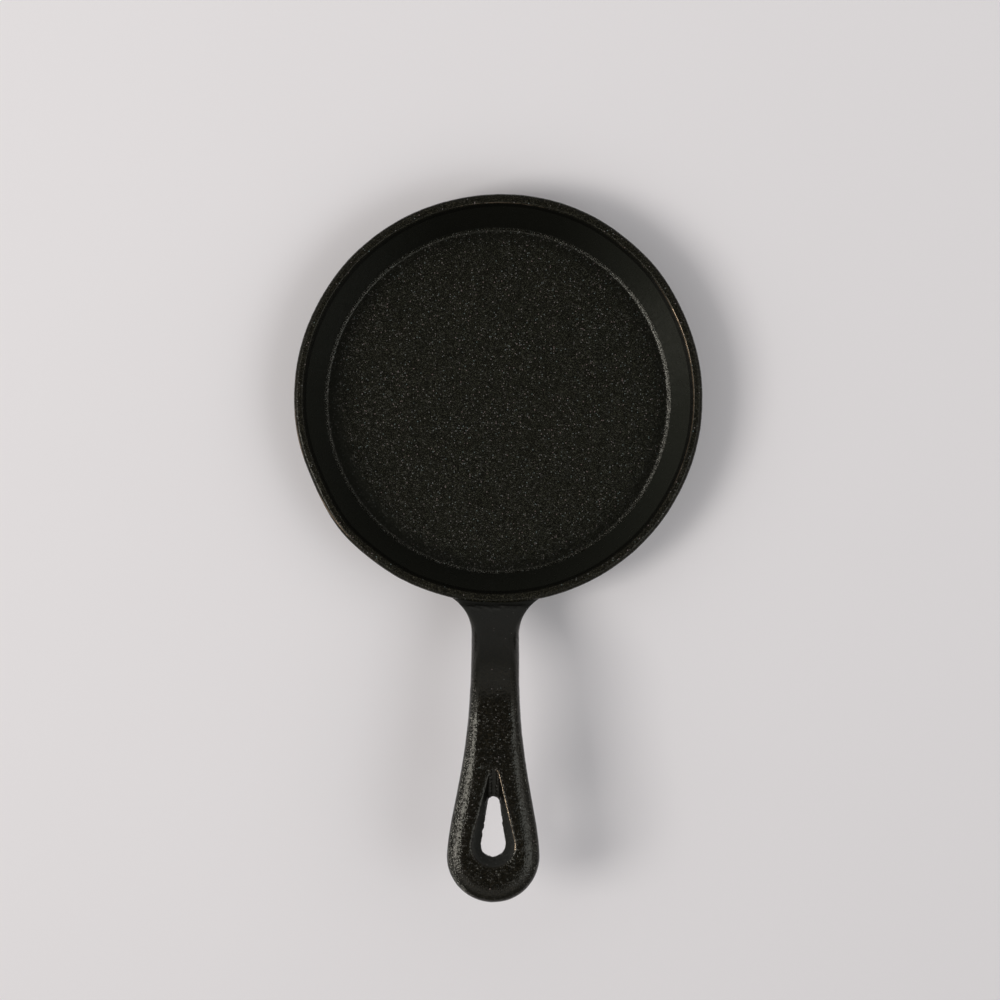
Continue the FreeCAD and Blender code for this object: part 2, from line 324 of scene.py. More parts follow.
def pan_marks(points):
    """How grainy and rubbed the pan's iron is at each point, and where it gets painted shade and painted
    highlight grains.
    """
    radius, angle = polar(points)
    height = points[:, 2]
    above_base = height > 2
    lip_radius = wall_radius(PAN_HEIGHT) - WALL_THICKNESS

    # Cooking floor: the grain thins out in a band along its edge, wider and plainer on one side, and the
    # band also gets painted shade
    plainer = round_the_pan(angle, 0, WIDE_EDGE_BAND)
    on_floor_top = (height < 4.6) * (radius < 59.4) * above_base
    edge_band = smooth_step(radius, 54 - 2 * plainer, 58) * on_floor_top

    # Inside of the wall: nearly smooth, with painted shade that is lightest towards +X and darkest
    # towards +Y
    on_wall = smooth_step(height, *WALL_FOOT) * (1 - smooth_step(height, *WALL_TOP))
    outside = smooth_step(radius - wall_radius(0) - height * FLARE_TAN, -1.5, -0.3)
    inside_wall = on_wall * (1 - outside)
    wall_painted_shade = inside_wall * np.clip(round_the_pan(angle, 0.55, WALL_SHADE), 0, 1)
    grain = (1 - 0.96 * inside_wall) * (1 - (0.10 + 0.4 * plainer) * edge_band)

    # Painted highlight: pale grains in the crease where the wall stands on the floor, strongest towards
    # +X
    crease = hump(radius, 60.1, 0.75) * (height < 5.6) * above_base
    crease = crease * round_the_pan(angle, 0.14, FOOT_HIGHLIGHT)

    # Edges of the rim, rubbed bare in use
    lip = hump(radius, lip_radius + 0.12, 0.26) * smooth_step(height, *LIP_EDGE)
    lip = lip * round_the_pan(angle, 0.42, LIP_WEAR)
    outer = hump(radius, RIM_RADIUS - 0.5, 0.42) * smooth_step(height, *OUTER_EDGE)
    outer = outer * round_the_pan(angle, 0.15, OUTER_WEAR)

    return {"cast_grain": np.clip(grain, 0, 1),
            "edge_wear": np.clip(lip + outer, 0, 1.5),
            "painted_shade": np.clip(0.55 * edge_band + wall_painted_shade, 0, 1),
            "painted_highlight": np.clip(crease, 0, 1)}


def make_pan_wall(iron):
    inner = rounded_path([
        (FLOOR_EDGE, FLOOR_TOP, 0),
        (wall_radius(FLOOR_TOP) - WALL_THICKNESS, FLOOR_TOP, FLOOR_ROUND),
        (wall_radius(RIM_JOINT) - WALL_THICKNESS, RIM_JOINT, 0)], STEP, TURN_STEP)
    outer = rounded_path([
        (wall_radius(RIM_JOINT), RIM_JOINT, 0),
        (wall_radius(0), 0, UNDERSIDE_ROUND),
        (FLOOR_EDGE, 0, 0)], OUTER_STEP, TURN_STEP * 1.4)
    closed_section("skillet_wall", [inner, outer], iron, ["pan_wall"])


def make_pan_rim(iron):
    top = rounded_path([
        (wall_radius(RIM_JOINT) - WALL_THICKNESS, RIM_JOINT, 0),
        (wall_radius(PAN_HEIGHT) - WALL_THICKNESS, PAN_HEIGHT, RIM_INNER_ROUND),
        (wall_radius(PAN_HEIGHT), PAN_HEIGHT, RIM_OUTER_ROUND),
        (wall_radius(RIM_JOINT), RIM_JOINT, 0)], RIM_STEP, RIM_TURN_STEP)
    closed_section("skillet_rim", [top], iron, ["pan_rim"])


def closed_section(name, paths, iron, nodes):
    """A ring of the pan: its outer faces, with level or upright joint faces between them."""
    skins = [pan_skin(*spun(path)) for path in paths]
    block = []
    for k, points in enumerate(skins):
        block.append(points)
        following = skins[(k + 1) % len(skins)]
        last, first = points[-AROUND:], following[:AROUND]
        for share in (1 / 3, 2 / 3):
            block.append(last + (first - last) * share)
    points = np.concatenate(block)
    count = len(points) // AROUND
    faces = [face[::-1] for face in ring_faces(count, AROUND, True, True)]
    make_piece(name, points, faces, iron, nodes, pan_marks(points))


def disc(side):
    """Points of a round grid with side squares across, its faces, and its edge in order."""
    span = np.linspace(-1, 1, side + 1)
    a, b = np.meshgrid(span, span, indexing="xy")
    wide = np.abs(a) > np.abs(b)
    safe_a, safe_b = np.where(a == 0, 1, a), np.where(b == 0, 1, b)
    reach = np.where(wide, a, b)
    turn = np.where(wide, math.pi / 4 * b / safe_a, math.pi / 2 - math.pi / 4 * a / safe_b)
    turn = np.where((a == 0) & (b == 0), 0, turn)
    points = np.stack([reach * np.cos(turn), reach * np.sin(turn)], -1).reshape(-1, 2)
    faces = ring_faces(side + 1, side + 1, False, False)
    index = np.arange((side + 1) ** 2).reshape(side + 1, side + 1)
    half = side // 2
    rim = np.concatenate([index[half:, -1], index[-1, -2::-1], index[-2::-1, 0],
                          index[0, 1:], index[1:half, -1]])
    return points, faces, rim


def make_pan_floor(iron):
    flat, faces, rim = disc(AROUND // 4)
    count = len(flat)
    top = np.column_stack([flat * FLOOR_EDGE, np.full(count, FLOOR_TOP)])
    up = np.tile([0.0, 0.0, 1.0], (count, 1))
    top = pan_skin(top, up)
    under_flat, under_faces, under_rim = disc(AROUND // 8)
    under_count = len(under_flat)
    under = np.column_stack([under_flat * FLOOR_EDGE, np.zeros(under_count)])
    under = pan_skin(under, np.tile([0.0, 0.0, -1.0], (under_count, 1)))
    points = np.concatenate([top, under])
    faces = faces + [[i + count for i in reversed(face)] for face in under_faces]
    half = len(under_rim)
    for k in range(half):
        low, low_next = under_rim[k] + count, under_rim[(k + 1) % half] + count
        a, b, c = rim[2 * k], rim[2 * k + 1], rim[(2 * k + 2) % len(rim)]
        faces += [[low, b, a], [low, low_next, b], [low_next, c, b]]
    faces = [[int(i) for i in face] for face in faces]
    make_piece("skillet_floor", points, faces, iron, ["pan_floor"], pan_marks(points))


# ---------------------------------------------------------------- handle

end_y = TIP_Y + END_ROUND
opening = math.atan(FLANK_SLOPE)
flank_start = np.array([HALF_SHANK, -RIM_RADIUS - STRAIGHT_SHANK])
flank_end = np.array([math.cos(opening) * END_ROUND, end_y + math.sin(opening) * END_ROUND])
flank_run = flank_start[1] - flank_end[1]
poles = [flank_start, flank_start - [0, flank_run * FLANK_START_PULL],
         flank_end + np.array([-FLANK_SLOPE, 1]) * flank_run * FLANK_END_PULL, flank_end]
along = np.linspace(0, 1, 400)[:, None]
flank = ((1 - along) ** 3 * poles[0] + 3 * (1 - along) ** 2 * along * poles[1]
         + 3 * (1 - along) * along ** 2 * poles[2] + along ** 3 * poles[3])


def half_width(y):
    """Half the width of the shank and grip at a place along the handle."""
    y = np.asarray(y, float)
    side = np.interp(-y, -flank[:, 1], flank[:, 0])
    end = np.sqrt(np.maximum(END_ROUND ** 2 - (y - end_y) ** 2, 0))
    return np.where(y > flank_end[1], side, end)


def side_lines():
    """The handle's top and underside seen from the side, as (y, z) points."""
    under_shank = GRIP_TOP - SHANK_THICKNESS
    beyond = TIP_Y - 5
    top_corner = -RIM_RADIUS - (GRIP_TOP - ROOT_TOP)
    under_corner = -RIM_RADIUS - (under_shank - ROOT_UNDER)
    slope = math.radians(SWELL_SLOPE)
    bend_end = under_corner - UNDER_BEND * HALF_BEND_TAN
    drop = under_shank - GRIP_UNDER
    swell_start = bend_end - SWELL_LEAD - SWELL_BEND * math.tan(slope / 2)
    swell_end = swell_start - drop / math.tan(slope)
    top = rounded_path([(-RIM_RADIUS, ROOT_TOP, 0), (top_corner, GRIP_TOP, TOP_BEND),
                        (beyond, GRIP_TOP, 0)], LINE_STEP, LINE_STEP)
    under = rounded_path([(-RIM_RADIUS, ROOT_UNDER, 0), (under_corner, under_shank, UNDER_BEND),
                          (swell_start, under_shank, SWELL_BEND), (swell_end, GRIP_UNDER, SWELL_BEND),
                          (beyond, GRIP_UNDER, 0)], LINE_STEP, LINE_STEP)
    return top, under


top_line, under_line = side_lines()


def shoulder_reach(y):
    """How far in from the side the shoulder's round reaches: the grip is rounder than the shank."""
    return SHOULDER + SOFT_SHOULDER * smooth_step(-np.asarray(y, float), *GRIP_SHOULDERS)


def loop(width_top, width_under, height, reach_top, reach_under, rise_top, rise_under):
    """Half a cross section, top middle to underside middle, as (x, up the section) points."""
    flat = np.linspace(0, 1, TOP_POINTS + 1)[:-1]
    bend = np.linspace(0, 1, CORNER_POINTS + 1)[:-1] * math.pi / 2
    side = np.linspace(0, 1, SIDE_POINTS + 1)[:-1]
    x = [flat * (width_top - reach_top),
         width_top - reach_top + reach_top * np.sin(bend)]
    v = [np.full(TOP_POINTS, height), height - rise_top + rise_top * np.cos(bend)]
    high, low = height - rise_top, rise_under
    v.append(high + (low - high) * side)
    x.append(width_top + (width_under - width_top) * side)
    x.append(width_under - reach_under + reach_under * np.cos(bend))
    v.append(rise_under - rise_under * np.sin(bend))
    back = np.linspace(1, 0, TOP_POINTS + 1)
    x.append(back * (width_under - reach_under))
    v.append(np.zeros(TOP_POINTS + 1))
    return np.concatenate(x), np.concatenate(v)


def station(top, under, width_top, width_under, reach_top, reach_under, rise_top, rise_under):
    """A closed cross section standing between a top and an underside point (y, z)."""
    height = np.linalg.norm(top - under)
    x, v = loop(width_top, width_under, height, reach_top, reach_under, rise_top, rise_under)
    x = np.concatenate([x, -x[-2:0:-1]])
    v = np.concatenate([v, v[-2:0:-1]])
    yz = under + (top - under) * (v / height)[:, None]
    return np.column_stack([x, yz])


def joint_ends():
    """Where the root section ends, at the top and at the underside."""
    top_run = (GRIP_TOP - ROOT_TOP) * math.sqrt(2) - TOP_BEND * HALF_BEND_TAN
    under_run = ((GRIP_TOP - SHANK_THICKNESS - ROOT_UNDER) * math.sqrt(2)
                 - ROOT_THICKNESS - UNDER_BEND * HALF_BEND_TAN)
    length = (min(top_run, under_run) - SHANK_LEAD) / math.sqrt(2)
    top = np.array([-RIM_RADIUS - length, ROOT_TOP + length])
    return top, top - np.array([1, 1]) * ROOT_THICKNESS / math.sqrt(2)


def line_from(line, start, end_y_value, count):
    """Evenly spaced points along a side line between two places."""
    keep = (line[:, 0] < start[0] - 0.02) & (line[:, 0] > end_y_value + 0.02)
    z_end = np.interp(-end_y_value, -line[:, 0], line[:, 1])
    part = np.concatenate([[start], line[keep], [[end_y_value, z_end]]])
    run = np.concatenate([[0], np.cumsum(np.linalg.norm(np.diff(part, axis=0), axis=1))])
    at = np.linspace(0, run[-1], count)
    return np.column_stack([np.interp(at, run, part[:, 0]), np.interp(at, run, part[:, 1])])


def outside_radius(z):
    """Outside radius of the pan at a height, rounds included."""
    path = rounded_path([(wall_radius(0) - 6, 0, 0), (wall_radius(0), 0, UNDERSIDE_ROUND),
                         (wall_radius(PAN_HEIGHT), PAN_HEIGHT, RIM_OUTER_ROUND),
                         (wall_radius(PAN_HEIGHT) - 3, PAN_HEIGHT, 0)], 0.2, 0.1)
    return np.interp(z, path[:, 1], path[:, 0])


def root_rails():
    """Cross sections from the shank's joint to just inside the pan's wall."""
    top, under = joint_ends()
    wall_top = np.array([ROOT_BURY - RIM_RADIUS, ROOT_TOP - ROOT_BURY])
    wall_under = np.array([ROOT_BURY - wall_radius(ROOT_FOOT), ROOT_FOOT])
    dense = []
    for share in np.linspace(0, 1, 500):
        here_top = top + (wall_top - top) * share
        here_under = under + (wall_under - under) * share
        top_round = SHOULDER + (ROOT_TOP_ROUND - SHOULDER) * smooth_step(share, 0, 0.6)
        under_round = SHOULDER + (ROOT_UNDER_ROUND - SHOULDER) * share ** 2
        room = min(np.linalg.norm(here_top - here_under) - top_round, HALF_SHANK)
        under_round = min(under_round, ROOT_ROUND_LIMIT * room)
        dense.append(station(here_top, here_under, HALF_SHANK, HALF_SHANK,
                             top_round, under_round, top_round, under_round))
    dense = np.array(dense)

    # The sides widen in a round as they come near the leaning wall
    lean = (RIM_JOINT - dense[..., 2]) * FLARE_TAN
    lean = (lean + np.sqrt(lean ** 2 + 1)) / 2
    gap = np.hypot(dense[..., 0], dense[..., 1]) - (RIM_RADIUS - lean)
    near = np.clip((-RIM_RADIUS - top[0] - gap) / FLARE_ROUND, 0, 0.99)
    dense[..., 0] *= 1 + FLARE_ROUND / HALF_SHANK * (1 - np.sqrt(1 - near ** 2))

    # Each rail stops where it has gone BURIED deep into the pan
    clear = np.hypot(dense[..., 0], dense[..., 1]) - outside_radius(dense[..., 2]) + BURIED
    rails = np.empty((ROOT_ROWS, dense.shape[1], 3))
    for k in range(dense.shape[1]):
        inside = np.argmax(clear[:, k] < 0)
        last = inside - clear[inside, k] / (clear[inside, k] - clear[inside - 1, k])
        rail = dense[: inside + 1, k]
        run = np.concatenate([[0], np.cumsum(np.linalg.norm(np.diff(rail, axis=0), axis=1))])
        length = np.interp(last, np.arange(inside + 1), run)
        at = np.linspace(0, length, ROOT_ROWS)
        for axis in range(3):
            rails[:, k, axis] = np.interp(at, run, rail[:, axis])
    return rails


def shank_rails():
    """Cross sections from the root's joint to the grip's joint."""
    top, under = joint_ends()
    tops = line_from(top_line, top, GRIP_JOINT, SHANK_ROWS)
    unders = line_from(under_line, under, GRIP_JOINT, SHANK_ROWS)
    rows = []
    for here_top, here_under in zip(tops, unders):
        reach_top, reach_under = shoulder_reach(here_top[0]), shoulder_reach(here_under[0])
        rows.append(station(here_top, here_under, half_width(here_top[0]),
                            half_width(here_under[0]), reach_top, reach_under, SHOULDER, SHOULDER))
    return np.array(rows)


def grid_normals(grid, closed_rows=False):
    """Outward normals of a grid of closed cross sections."""
    if closed_rows:
        along = np.roll(grid, -1, 0) - np.roll(grid, 1, 0)
    else:
        along = np.gradient(grid, axis=0)
    around = np.roll(grid, -1, 1) - np.roll(grid, 1, 1)
    normals = np.cross(along, around)
    return normals / np.maximum(np.linalg.norm(normals, axis=-1), 1e-9)[..., None]


def handle_skin(points, normals):
    """Rough on the grip and the shank, smooth on the root's sloping top."""
    smooth_root = fade(points[:, 1], -100, -76) * smooth_step(normals[:, 2], 0.2, 0.6)
    grain = 0.036 - 0.028 * smooth_root
    lumps = 0.045 - 0.030 * smooth_root
    return skin(points, normals, grain, lumps, HANDLE_WAVES)


def handle_marks(points, normals):
    """How grainy the handle's iron is, with painted shade in the crease under the rim, painted highlight
    grains on the shoulders and a lighter painted sheen on the root's sloping top.
    """
    y, side, up = points[:, 1], normals[:, 0], normals[:, 2]
    # Painted sheen: less grain here lets the handle's lighter smooth colour through on the root's
    # sloping top
    smooth_root = fade(y, -103, -71) * smooth_step(up, 0.5, 0.66)
    # Painted shade in the crease under the rim
    crease = hump(y, -RIM_RADIUS - 0.7, 0.8) * smooth_step(up, 0.2, 0.6)
    # Painted highlight grains on the tilted shoulders of the grip, more on the -X side
    tilt = hump(up, 0.72, 0.26) * (up > 0)
    shoulder_highlight = tilt * smooth_step(np.abs(side), 0.2, 0.5) * smooth_step(-y, 84, 112)
    shoulder_highlight = shoulder_highlight * (0.16 + 0.30 * smooth_step(-side, -0.3, 0.3))
    return {"cast_grain": 1 - 0.65 * smooth_root,
            "edge_wear": np.zeros(len(points)),
            "painted_shade": 0.9 * crease,
            "painted_highlight": shoulder_highlight}


def pimple(points, normals, centre, reach, height):
    """Raises one small cast pimple on the faces near a point."""
    near = np.linalg.norm(points - np.array(centre), axis=1)
    return points + normals * (height * np.exp(-(near / reach) ** 2))[:, None]


def crease_grains(points, normals):
    """A row of sand grains cast into the crease between the rim and the root's top."""
    draw = random.Random(11)
    reach = 8.6
    x = -reach
    while x < reach:
        y = -RIM_RADIUS - draw.uniform(0.9, 2.0)
        z = ROOT_TOP - RIM_RADIUS - y
        points = pimple(points, normals, (x, y, z), draw.uniform(0.35, 0.6), draw.uniform(0.12, 0.3))
        x += draw.uniform(0.55, 1.1)
    return points


def make_root_and_shank(iron):
    root, shank = root_rails(), shank_rails()
    whole = np.concatenate([root[::-1], shank[1:]])
    columns = whole.shape[1]
    normals = grid_normals(whole)
    flat_points, flat_normals = whole.reshape(-1, 3), normals.reshape(-1, 3)
    skinned = crease_grains(handle_skin(flat_points, flat_normals), flat_normals)
    skinned = skinned.reshape(whole.shape)
    marks = handle_marks(flat_points, flat_normals)
    cut = ROOT_ROWS - 1
    parts = {"skillet_root": (slice(0, cut + 1), "handle_root"),
             "skillet_shank": (slice(cut, None), "handle_shank")}
    for name, (rows, node) in parts.items():
        grid = skinned[rows]
        count = len(grid)
        points = grid.reshape(-1, 3)
        faces = ring_faces(count, columns, False, True)
        first, last = list(range(columns)), list(range((count - 1) * columns, count * columns))
        own = {mark: values.reshape(whole.shape[:2])[rows].reshape(-1)
               for mark, values in marks.items()}
        if name == "skillet_root":
            # The buried end curves with the wall, so it is closed by a fan round a hub
            middle = points[:columns].mean(0)
            inward = outside_radius(middle[2]) - 1.8
            middle[:2] *= inward / np.hypot(middle[0], middle[1])
            points = np.concatenate([points, [middle]])
            hub = len(points) - 1
            own = {mark: np.append(values, 0.5) for mark, values in own.items()}
            faces += [[first[(k + 1) % columns], first[k], hub] for k in range(columns)]
        else:
            faces.append(first[::-1])
        faces.append(last)
        faces = [face[::-1] for face in faces]
        make_piece(name, points, faces, iron, [node], own)


# The two rounds of each teardrop, as (y of the centre, radius)
HOLLOW_TIP = (TIP_Y + HOLLOW_EDGE_IRON + HOLLOW_LENGTH - HOLLOW_TIP_RADIUS, HOLLOW_TIP_RADIUS)
HOLLOW_END = (TIP_Y + HOLLOW_EDGE_IRON + HOLLOW_END_RADIUS, HOLLOW_END_RADIUS)
HOLE_TIP = (TIP_Y + HOLE_EDGE_IRON + HOLE_LENGTH - HOLE_TIP_RADIUS, HOLE_TIP_RADIUS)
HOLE_END = (TIP_Y + HOLE_EDGE_IRON + HOLE_END_RADIUS, HOLE_END_RADIUS)


def teardrop_half(tip, end):
    """Right half of a teardrop from its tip to its end, point for point with the outline."""
    (tip_y, tip_radius), (far_y, far_radius) = tip, end
    lean = math.asin((far_radius - tip_radius) / (tip_y - far_y))
    first = math.pi / 2 - np.linspace(0, 0.5, JOINT_HALF + 1)[:-1] * (math.pi / 2 - lean)
    second = math.pi / 2 - np.linspace(0.5, 1, JOINT_FLANK + 1)[:-1] * (math.pi / 2 - lean)
    turn = np.concatenate([first, second])
    tip_arc = np.column_stack([np.cos(turn) * tip_radius, tip_y + np.sin(turn) * tip_radius])
    share = np.linspace(0, 1, LONG_FLANK + 1)[:-1, None]
    start = np.array([math.cos(lean) * tip_radius, tip_y + math.sin(lean) * tip_radius])
    stop = np.array([math.cos(lean) * far_radius, far_y + math.sin(lean) * far_radius])
    sides = start + (stop - start) * share
    turn = lean - np.linspace(0, 1, END_QUARTER + 1) * (lean + math.pi / 2)
    end_arc = np.column_stack([np.cos(turn) * far_radius, far_y + np.sin(turn) * far_radius])
    return np.concatenate([tip_arc, sides, end_arc])


def grip_outline_half():
    """Right half of the grip's outline, from the middle of its joint to its tip."""
    corner = float(half_width(GRIP_JOINT))
    joint = np.column_stack([np.linspace(0, corner, JOINT_HALF + 1)[:-1],
                             np.full(JOINT_HALF, GRIP_JOINT)])
    beside_tip = HOLLOW_TIP[0] - 2.5
    y = np.linspace(GRIP_JOINT, beside_tip, JOINT_FLANK + 1)[:-1]
    near = np.column_stack([half_width(y), y])
    y = np.linspace(beside_tip, flank_end[1], LONG_FLANK + 1)[:-1]
    far = np.column_stack([half_width(y), y])
    turn = opening - np.linspace(0, 1, END_QUARTER + 1) * (opening + math.pi / 2)
    end = np.column_stack([np.cos(turn), np.sin(turn)]) * END_ROUND + [0, end_y]
    return np.concatenate([joint, near, far, end])


def whole_outline(half):
    left = half[-2:0:-1] * [-1, 1]
    return np.concatenate([half, left])


def edge_distance(plan):
    """Distance in from the grip's sides and round end."""
    x, y = plan[..., 0], plan[..., 1]
    slope = np.gradient(flank[:, 0], flank[:, 1])
    lean = np.interp(-y, -flank[:, 1], slope)
    side = (half_width(y) - np.abs(x)) / np.sqrt(1 + lean ** 2)
    end = END_ROUND - np.hypot(x, y - end_y)
    return np.maximum(np.where(y > flank_end[1], side, end), 0)


def shoulder_drop(plan):
    """How far the shoulder's round lowers the grip's top."""
    reach = shoulder_reach(plan[..., 1])
    share = np.clip(1 - edge_distance(plan) / reach, 0, 1)
    return SHOULDER * (1 - np.sqrt(np.maximum(1 - share ** 2, 0)))


def ragged_hole(points, hole):
    """The hole's edge was never cleaned up: it wanders in and out by a few tenths."""
    near = np.hypot(points[:, 0] - hole[:, 0], points[:, 1] - hole[:, 1])
    share = np.exp(-(near / 0.7) ** 2)
    ragged = 0.28 * skin_noise(points + 7, 1.7) + 0.12 * skin_noise(points - 9, 0.8)
    away = np.column_stack([hole[:, 0], hole[:, 1] - (HOLE_TIP[0] + HOLE_END[0]) / 2])
    away /= np.linalg.norm(away, axis=1)[:, None]
    points = points.copy()
    points[:, :2] += away * (ragged * share)[:, None]
    return points


def ramp_pimples(points, normals):
    """Two rows of small cast pimples run down the hollow's long ramp."""
    draw = random.Random(5)
    ramp_depth, ramp_length = 3.4, 9.0
    for side in (-1, 1):
        y = HOLLOW_TIP[0] + 1.0
        while y > HOLE_TIP[0] + 2.6:
            fall = (HOLLOW_TIP[0] + HOLLOW_TIP[1] - y) * ramp_depth / ramp_length
            centre = (side * (1.15 + draw.uniform(-0.15, 0.15)), y, GRIP_TOP - fall)
            points = pimple(points, normals, centre, 0.46, draw.uniform(0.38, 0.55))
            y -= draw.uniform(0.95, 1.35)
    return points


def make_grip(iron):
    outline = whole_outline(grip_outline_half())
    hollow = whole_outline(teardrop_half(HOLLOW_TIP, HOLLOW_END))
    hole = whole_outline(teardrop_half(HOLE_TIP, HOLE_END))
    columns = len(outline)
    bead = np.linalg.norm(hollow - outline, axis=1)
    ramp = np.linalg.norm(hole - hollow, axis=1)
    depth = (GRIP_TOP - GRIP_UNDER - WEB) / 2
    middle = (GRIP_TOP + GRIP_UNDER) / 2

    def surface(plan, inward, side):
        """Height of the bead and the hollow; side is 1 on top and -1 underneath."""
        fall = depth / ramp * inward
        fall = (fall + np.sqrt(fall ** 2 + HOLLOW_SOFT ** 2)) / 2
        drop = np.minimum(shoulder_drop(plan) + fall, depth)
        swell = np.interp(-plan[:, 1], -under_line[:, 0], under_line[:, 1]) - GRIP_UNDER
        return middle + side * ((GRIP_TOP - GRIP_UNDER) / 2 - drop) + (swell if side < 0 else 0)

    # Rows stand closer together on the shoulder, by the bead's edge and at the top of the ramp
    turned = 0.62
    shoulder_turn = np.linspace(0, 1, BEAD_ROWS + 1) ** 1.3
    rows_out = [("bead", share * turned) for share in shoulder_turn[:-1]]
    rows_out += [("bead", share) for share in np.linspace(turned, 1, BEAD_EDGE_ROWS + 1)[:-1]]
    rows_out += [("ramp", share ** 1.15) for share in np.linspace(0, 1, RAMP_ROWS)]

    def half_rows(side):
        rows = []
        for kind, share in rows_out:
            if kind == "bead":
                plan = outline + (hollow - outline) * share
                rows.append(np.column_stack([plan, surface(plan, -(1 - share) * bead, side)]))
            else:
                plan = hollow + (hole - hollow) * share
                rows.append(np.column_stack([plan, surface(plan, share * ramp, side)]))
        return rows

    top, under = half_rows(1), half_rows(-1)
    wall = [top[-1] + (under[-1] - top[-1]) * share for share in np.linspace(0, 1, 8)[1:-1]]
    sides = [under[0] + (top[0] - under[0]) * share for share in np.linspace(0, 1, 9)[1:-1]]
    grid = np.array(top + wall + under[::-1] + sides)
    rows = len(grid)
    outer_rows = len(top) + len(wall) + len(under)
    normals = grid_normals(grid, closed_rows=True)
    flat, flat_normals = grid.reshape(-1, 3), normals.reshape(-1, 3)
    at_joint = np.abs(flat[:, 1] - GRIP_JOINT) < 1e-6
    flat_normals[at_joint, 1] = 0
    inner_face = at_joint & (np.repeat(np.arange(rows), columns) >= outer_rows)
    moved = handle_skin(flat, flat_normals)
    marks = handle_marks(flat, flat_normals)
    moved = ragged_hole(moved, np.tile(hole, (rows, 1)))
    moved = ramp_pimples(moved, flat_normals)
    points = np.where(inner_face[:, None], flat, moved)

    # The edge between bead and hollow is rubbed, most on its right side
    first_ramp = BEAD_ROWS + BEAD_EDGE_ROWS
    edge_rows = np.zeros(rows)
    edge_rows[first_ramp - 1: first_ramp + 2] = (0.5, 1.05, 0.45)
    right_side = (smooth_step(hollow[:, 0], -0.5, 1.5)
                  * smooth_step(hollow[:, 1], HOLLOW_END[0] - 5, HOLLOW_END[0] - 1))
    marks["edge_wear"] = np.outer(edge_rows, 0.25 + 0.75 * right_side).reshape(-1)

    # Inside the hollow the iron is smoother and shows more of the handle's lighter painted sheen colour,
    # with fewer painted highlight grains, and the long ramp has painted shade
    in_hollow = np.zeros(rows)
    in_hollow[first_ramp + 2: outer_rows - first_ramp - 2] = 1
    in_hollow = np.repeat(in_hollow, columns)
    on_ramp = smooth_step(flat[:, 1], HOLE_TIP[0] - 1, HOLE_TIP[0] + 3)
    marks["cast_grain"] = marks["cast_grain"] * (1 - (0.6 - 0.4 * on_ramp) * in_hollow)
    marks["painted_shade"] = 0.8 * on_ramp * in_hollow
    marks["painted_highlight"] = marks["painted_highlight"] * (1 - 0.8 * in_hollow)
    faces = ring_faces(rows, columns, True, True)
    faces = [face[::-1] for face in faces]
    make_piece("skillet_grip", points, faces, iron, ["handle_grip"], marks)


# ---------------------------------------------------------------- materials

def new_group(name, inputs, outputs):
    """An empty node group with named inputs (name, default) and outputs (name, kind)."""
    group = bpy.data.node_groups.new(name, "ShaderNodeTree")
    for socket, default in inputs:
        item = group.interface.new_socket(socket, in_out="INPUT", socket_type="NodeSocketFloat")
        item.default_value = default
    for socket, kind in outputs:
        group.interface.new_socket(socket, in_out="OUTPUT", socket_type=f"NodeSocket{kind}")
    start = group.nodes.new("NodeGroupInput")
    end = group.nodes.new("NodeGroupOutput")
    return group, start, end


def add(tree, kind, links=None, **settings):
    """Adds a node, sets its properties and sockets, and links other sockets into it."""
    node = tree.nodes.new(kind)
    for key, value in settings.items():
        setattr(node, key, value)
    for socket, source in (links or {}).items():
        target = node.inputs[socket]
        if isinstance(source, bpy.types.NodeSocket):
            tree.links.new(source, target)
        else:
            target.default_value = source
    return node


def math_node(tree, operation, a, b=None, clamp=False):
    links = {0: a}
    if b is not None:
        links[1] = b
    return add(tree, "ShaderNodeMath", links, operation=operation, use_clamp=clamp).outputs[0]


def map_range(tree, value, from_low, from_high, to_low, to_high, kind="LINEAR"):
    node = add(tree, "ShaderNodeMapRange", {"Value": value, "From Min": from_low,
               "From Max": from_high, "To Min": to_low, "To Max": to_high},
               interpolation_type=kind)
    return node.outputs[0]


def place(tree):
    return add(tree, "ShaderNodeTexCoord").outputs["Object"]


def build_cast_grain():
    """Fine sand grain of the casting: round pebbles of uneven height on a soft skin."""
    group, start, end = new_group(
        "cast_grain", [("Grain Size", 0.6), ("Skin", 1.0), ("Steep Grains", 0.5)],
        [("Height", "Float"), ("Peak", "Float"), ("Salt", "Float")])
    scale = math_node(group, "DIVIDE", 1000.0, start.outputs["Grain Size"])
    soft = add(group, "ShaderNodeTexNoise", {"Vector": place(group), "Scale": scale,
               "Detail": 1.0, "Roughness": 0.5})
    cells = add(group, "ShaderNodeTexVoronoi", {"Vector": place(group), "Scale": scale,
                "Randomness": 1.0, "Smoothness": 0.35}, feature="SMOOTH_F1")
    pebble = map_range(group, cells.outputs["Distance"], 0.05, 0.62, 1.0, 0.0, "SMOOTHSTEP")
    tone = add(group, "ShaderNodeSeparateColor", {0: cells.outputs["Color"]}).outputs[0]
    tall = math_node(group, "POWER", tone, 4.0)
    tall = math_node(group, "MULTIPLY", tall, start.outputs["Steep Grains"])
    rise = math_node(group, "ADD", math_node(group, "MULTIPLY", tone, 0.55), tall)
    rise = math_node(group, "MULTIPLY", pebble, rise)
    height = math_node(group, "ADD", math_node(group, "MULTIPLY", soft.outputs[0], 0.7), rise)
    height = math_node(group, "MULTIPLY", height, start.outputs["Skin"])
    grains = add(group, "ShaderNodeTexNoise", {"Vector": place(group),
                 "Scale": math_node(group, "MULTIPLY", scale, 2.3), "Detail": 1.0, "Roughness": 0.5})
    salt = map_range(group, grains.outputs[0], 0.38, 0.74, 0.0, 1.0)
    peak = map_range(group, rise, 0.1, 0.5, 0.0, 1.0)
    group.links.new(height, end.inputs["Height"])
    group.links.new(math_node(group, "MULTIPLY", peak, start.outputs["Skin"]), end.inputs["Peak"])
    group.links.new(math_node(group, "POWER", salt, 3.0), end.inputs["Salt"])
    return group


